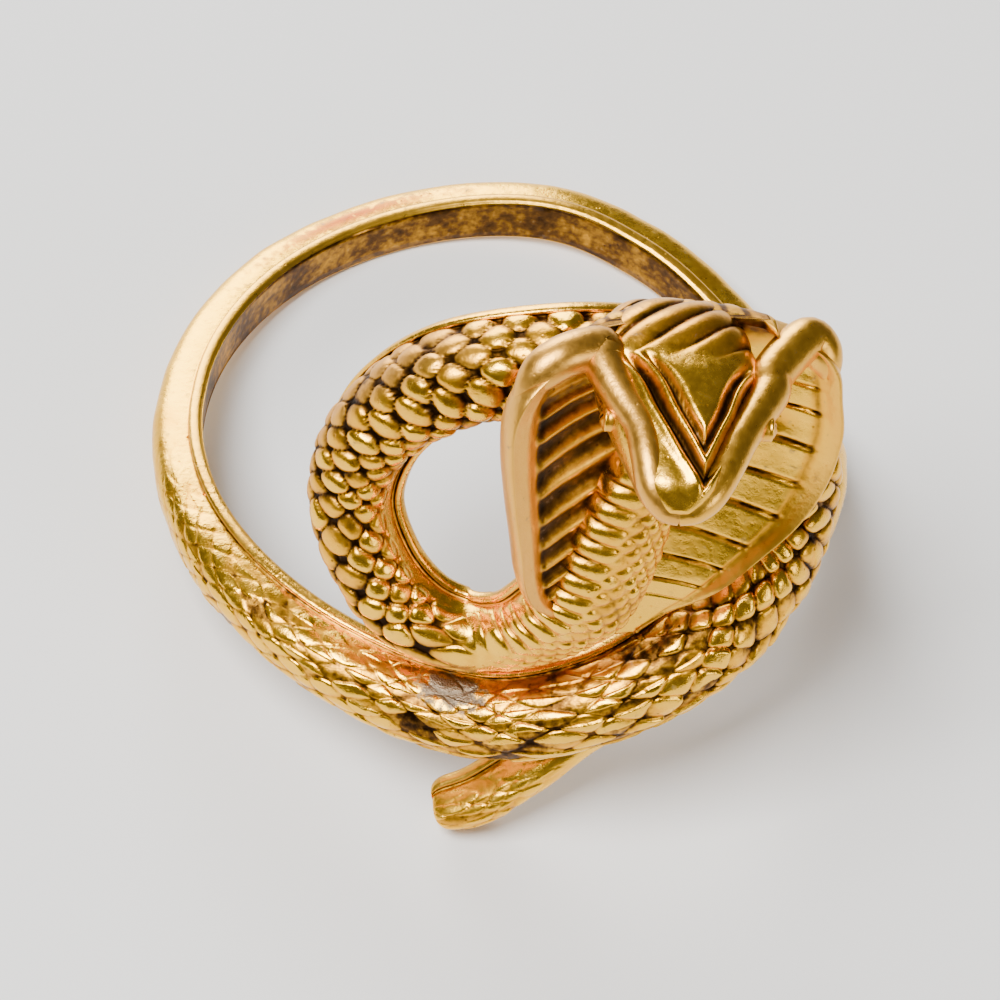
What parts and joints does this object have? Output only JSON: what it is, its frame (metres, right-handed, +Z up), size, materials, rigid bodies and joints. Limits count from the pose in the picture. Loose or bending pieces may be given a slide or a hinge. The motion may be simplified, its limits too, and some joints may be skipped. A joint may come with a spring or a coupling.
{
  "type": "cobra wrap ring",
  "caption": "Cast brass wrap ring shaped as a cobra: a plain shank grows into a scaly body, coils over the finger and ends in a raised hood and head.",
  "frame": {"origin": "bottom centre of the ring's box as it lies at rest on its tail tip and the back of its shank", "axes": "+Z up, -Y to the front, where the coil, the hood and the head are; the finger axis leans back from +Z by about 23 degrees towards +Y"},
  "size_m": [0.0202, 0.0222, 0.0183],
  "materials": {
    "gold": "worn gold-coloured casting, rubbed bright on high points, brown in the recesses"
  },
  "bodies": {
    "root": {"snake_ring": "gold"}
  },
  "joints": []
}
